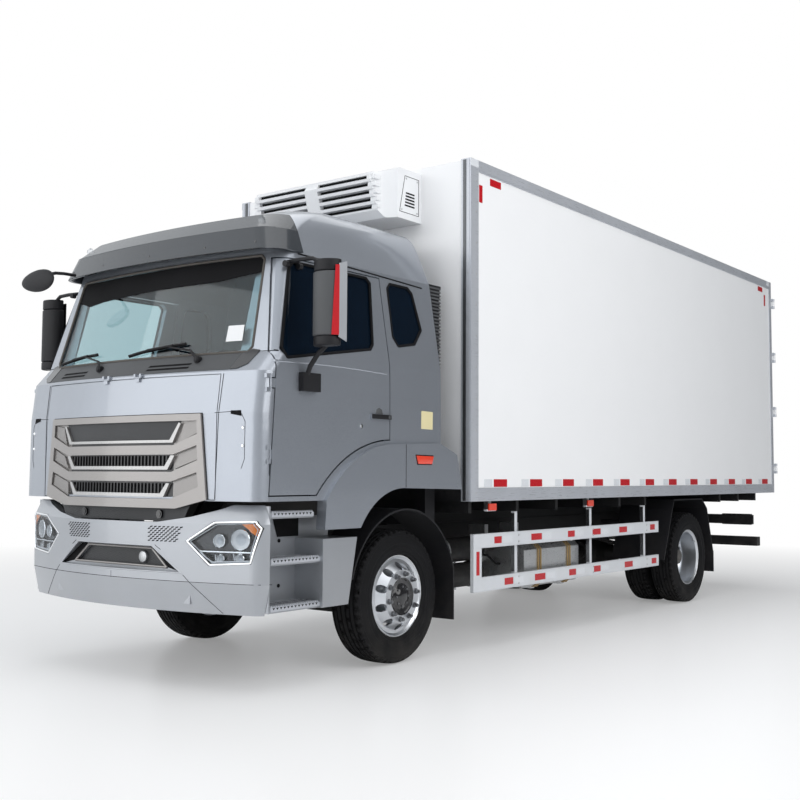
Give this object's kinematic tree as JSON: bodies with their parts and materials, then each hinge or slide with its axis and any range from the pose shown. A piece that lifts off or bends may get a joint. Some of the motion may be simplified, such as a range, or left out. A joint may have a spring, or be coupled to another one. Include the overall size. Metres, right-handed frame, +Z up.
{
  "type": "refrigerated truck",
  "caption": "Refrigerated box truck on two axles: tilting cab with opening doors and front lid, insulated load box with rear doors and roof-high cooling unit.",
  "frame": {"origin": "on the ground, at the middle of the truck's length and width", "axes": "+Z up, -Y the way the truck drives, +X the truck's left side"},
  "size_m": [3.2, 9.7148, 3.97],
  "materials": {
    "chassis_paint": "satin black frame paint",
    "cast_steel": "painted forged steel",
    "engine_iron": "cast metal",
    "tyre_rubber": "rubber",
    "wheel_alloy": "polished",
    "tank_alloy": "mill finish sheet",
    "dark_plastic": "grained black",
    "guard_paint": "white paint",
    "box_panel": "white glass-fibre skin",
    "rail_alloy": "anodised extrusion",
    "unit_plastic": "white moulding",
    "lamp_lens": "clear over black",
    "cab_paint": "metallic silver",
    "cab_glazing": "tinted",
    "grille_paint": "warm grey metallic",
    "visor_plastic": "smoked",
    "seat_cloth": "woven cloth"
  },
  "bodies": {
    "chassis": {"chassis_frame": "chassis_paint", "leaf_springs": "chassis_paint", "front_axle": "chassis_paint", "rear_axle": "chassis_paint", "propeller_shaft": "chassis_paint", "engine_block": "engine_iron", "fuel_tank": "tank_alloy", "air_tanks": "chassis_paint", "battery_box": "dark_plastic", "silencer": "engine_iron", "side_guards": "guard_paint", "underrun_guard": "chassis_paint", "mudguards": "dark_plastic", "box_floor": "chassis_paint", "box_sides": "box_panel", "box_roof": "box_panel", "box_front_wall": "box_panel", "box_rear_frame": "rail_alloy", "box_rails": "rail_alloy", "reefer_unit": "unit_plastic", "intake_stack": "dark_plastic", "bumper": "cab_paint", "lamps": "lamp_lens", "steps": "cab_paint"},
    "cab": {"cab_floor": "chassis_paint", "cab_rear_panel": "cab_paint", "cab_sides": "cab_paint", "cab_roof": "cab_paint", "cab_front_panel": "cab_paint", "cab_glass": "cab_glazing", "sun_visor": "visor_plastic", "cab_fenders": "cab_paint", "seats": "seat_cloth", "dashboard": "dark_plastic", "front_mirror": "dark_plastic"},
    "front_lid": {"front_lid": "cab_paint", "grille": "grille_paint", "grille_insert": "dark_plastic"},
    "door_left": {"door_left": "cab_paint", "door_glass_left": "cab_glazing", "mirror_left": "dark_plastic"},
    "door_right": {"door_right": "cab_paint", "door_glass_right": "cab_glazing", "mirror_right": "dark_plastic"},
    "steering_wheel": {"steering_wheel": "dark_plastic"},
    "knuckle_left": {"knuckle_left": "cast_steel"},
    "knuckle_right": {"knuckle_right": "cast_steel"},
    "track_rod": {"track_rod": "chassis_paint"},
    "front_wheel_left": {"front_tyre_left": "tyre_rubber", "front_rim_left": "wheel_alloy"},
    "front_wheel_right": {"front_tyre_right": "tyre_rubber", "front_rim_right": "wheel_alloy"},
    "rear_wheels_left": {"rear_tyres_left": "tyre_rubber", "rear_rims_left": "wheel_alloy"},
    "rear_wheels_right": {"rear_tyres_right": "tyre_rubber", "rear_rims_right": "wheel_alloy"},
    "rear_door_left": {"rear_door_left": "box_panel"},
    "rear_door_right": {"rear_door_right": "box_panel"}
  },
  "joints": [
    {"name": "cab_tilt", "type": "hinge", "parent": "chassis", "child": "cab", "pos_m": [0, -4.6425, 0.9], "axis": [1, 0, 0], "range_deg": [0, 50]},
    {"name": "front_lid_hinge", "type": "hinge", "parent": "cab", "child": "front_lid", "pos_m": [0, -4.7995, 2.058], "axis": [-1, 0, 0], "range_deg": [0, 80]},
    {"name": "door_left_hinge", "type": "hinge", "parent": "cab", "child": "door_left", "pos_m": [1.238, -4.6015, 1.9], "axis": [0, 0, -1], "range_deg": [0, 75]},
    {"name": "door_right_hinge", "type": "hinge", "parent": "cab", "child": "door_right", "pos_m": [-1.238, -4.6015, 1.9], "axis": [0, 0, 1], "range_deg": [0, 75]},
    {"name": "steer_left", "type": "hinge", "parent": "chassis", "child": "knuckle_left", "pos_m": [0.83, -3.0775, 0.5], "axis": [0, 0, 1], "range_deg": [-38, 38]},
    {"name": "steer_right", "type": "hinge", "parent": "chassis", "child": "knuckle_right", "pos_m": [-0.83, -3.0775, 0.5], "axis": [0, 0, 1], "range_deg": [-38, 38]},
    {"name": "track_rod_pivot", "type": "hinge", "parent": "knuckle_left", "child": "track_rod", "pos_m": [0.83, -2.8275, 0.3794], "axis": [0, 0, 1], "range_deg": [-38, 38]},
    {"name": "steering_wheel_turn", "type": "hinge", "parent": "cab", "child": "steering_wheel", "pos_m": [0.56, -4.0375, 2.07], "axis": [0, 0.4695, 0.8829], "range_deg": [-720, 720]},
    {"name": "front_wheel_left_spin", "type": "hinge", "parent": "knuckle_left", "child": "front_wheel_left", "pos_m": [0.99, -3.0775, 0.5], "axis": [1, 0, 0], "continuous": true},
    {"name": "front_wheel_right_spin", "type": "hinge", "parent": "knuckle_right", "child": "front_wheel_right", "pos_m": [-0.99, -3.0775, 0.5], "axis": [1, 0, 0], "continuous": true},
    {"name": "rear_wheels_left_spin", "type": "hinge", "parent": "chassis", "child": "rear_wheels_left", "pos_m": [0.93, 2.1625, 0.5], "axis": [1, 0, 0], "continuous": true},
    {"name": "rear_wheels_right_spin", "type": "hinge", "parent": "chassis", "child": "rear_wheels_right", "pos_m": [-0.93, 2.1625, 0.5], "axis": [1, 0, 0], "continuous": true},
    {"name": "rear_door_left_hinge", "type": "hinge", "parent": "chassis", "child": "rear_door_left", "pos_m": [1.318, 4.8445, 2.5], "axis": [0, 0, -1], "range_deg": [0, 268]},
    {"name": "rear_door_right_hinge", "type": "hinge", "parent": "chassis", "child": "rear_door_right", "pos_m": [-1.318, 4.8445, 2.5], "axis": [0, 0, 1], "range_deg": [0, 268]}
  ],
  "couplings": [
    {"joint": "steer_right", "follows": "steer_left", "ratio": 1},
    {"joint": "track_rod_pivot", "follows": "steer_left", "ratio": -1},
    {"joint": "steering_wheel_turn", "follows": "steer_left", "ratio": 18}
  ]
}
